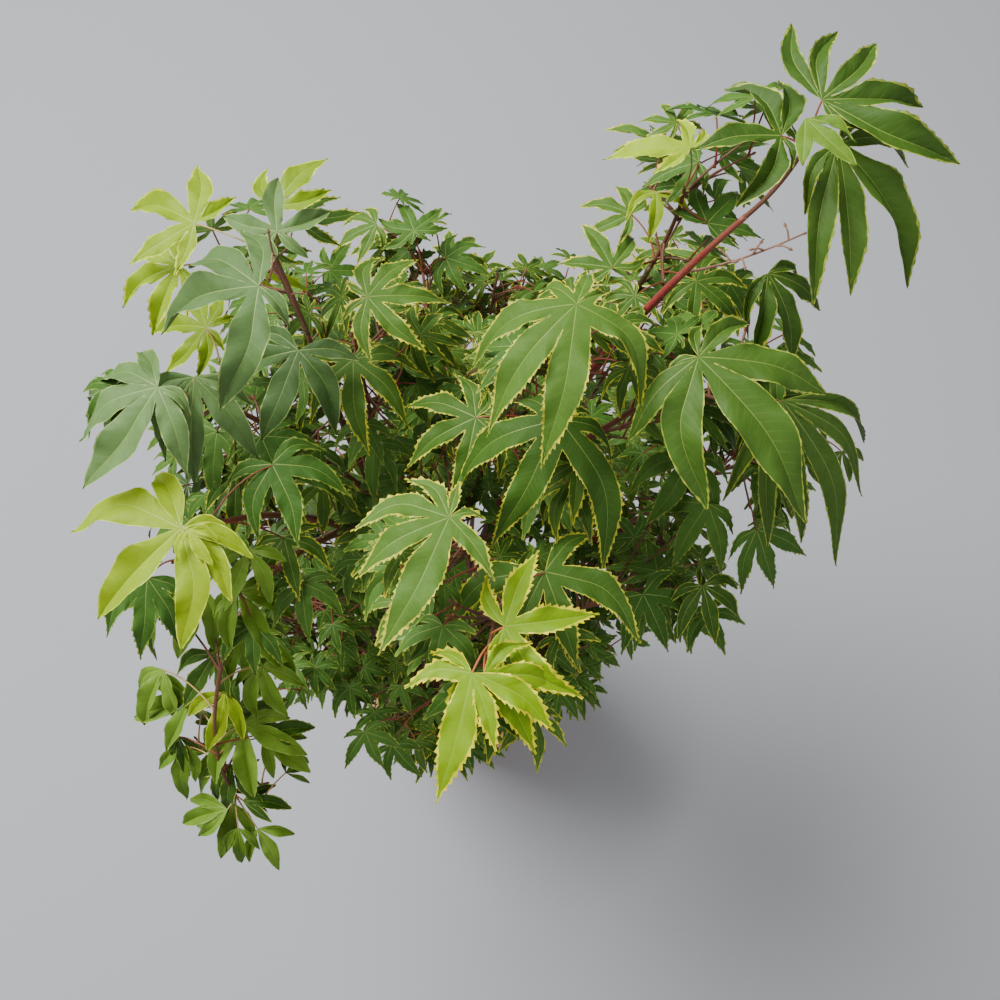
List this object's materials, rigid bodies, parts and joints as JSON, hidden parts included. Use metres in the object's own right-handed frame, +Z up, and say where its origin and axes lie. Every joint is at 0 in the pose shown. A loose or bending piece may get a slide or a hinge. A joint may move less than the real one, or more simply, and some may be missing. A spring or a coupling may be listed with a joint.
{
  "type": "potted japanese maple",
  "caption": "Young Japanese maple in a plain clay pot: slim forked trunk, arching boughs and open masses of lobed, pale-edged leaves.",
  "frame": {"origin": "middle of the pot's flat underside", "axes": "+Z up; -Y is the side of the plant towards which its newest growth leans; +X is the side of its tallest shoot"},
  "size_m": [0.47, 0.4673, 0.9909],
  "materials": {
    "clay": "matt, unglazed",
    "soil": "rough, moist",
    "bark": "rough",
    "young_bark": "smooth, satin",
    "leaf_green": "satin",
    "leaf_bright": "satin",
    "leaf_grey_green": "satin"
  },
  "bodies": {
    "root": {"pot": "clay", "soil": "soil", "trunk": "bark", "bough_right": "bark", "bough_left": "bark", "bough_front": "bark", "bough_front_centre": "bark", "bough_centre": "bark", "bough_right_side": "bark", "bough_right_inner": "bark", "bough_left_side": "bark", "bough_left_front": "bark", "bough_hanging": "bark", "bough_back_centre": "bark", "bough_back": "bark", "bough_middle": "bark", "bough_low_front": "bark", "bough_low_front_left": "bark", "bough_low_left": "bark", "bough_low_back_left": "bark", "bough_low_back": "bark", "bough_low_back_right": "bark", "bough_low_right": "bark", "bough_low_front_right": "bark", "top_right": "leaf_grey_green", "right_inner": "leaf_green", "right": "leaf_green", "centre": "leaf_green", "front_centre": "leaf_green", "front": "leaf_bright", "upper_left": "leaf_grey_green", "left": "leaf_grey_green", "left_front": "leaf_bright", "left_hanging": "leaf_grey_green", "back_centre": "leaf_green", "back": "leaf_green", "middle": "leaf_green", "low_front": "leaf_green", "low_front_left": "leaf_green", "low_left": "leaf_green", "low_back_left": "leaf_green", "low_back": "leaf_green", "low_back_right": "leaf_green", "low_right": "leaf_green", "low_front_right": "leaf_green"}
  },
  "joints": []
}
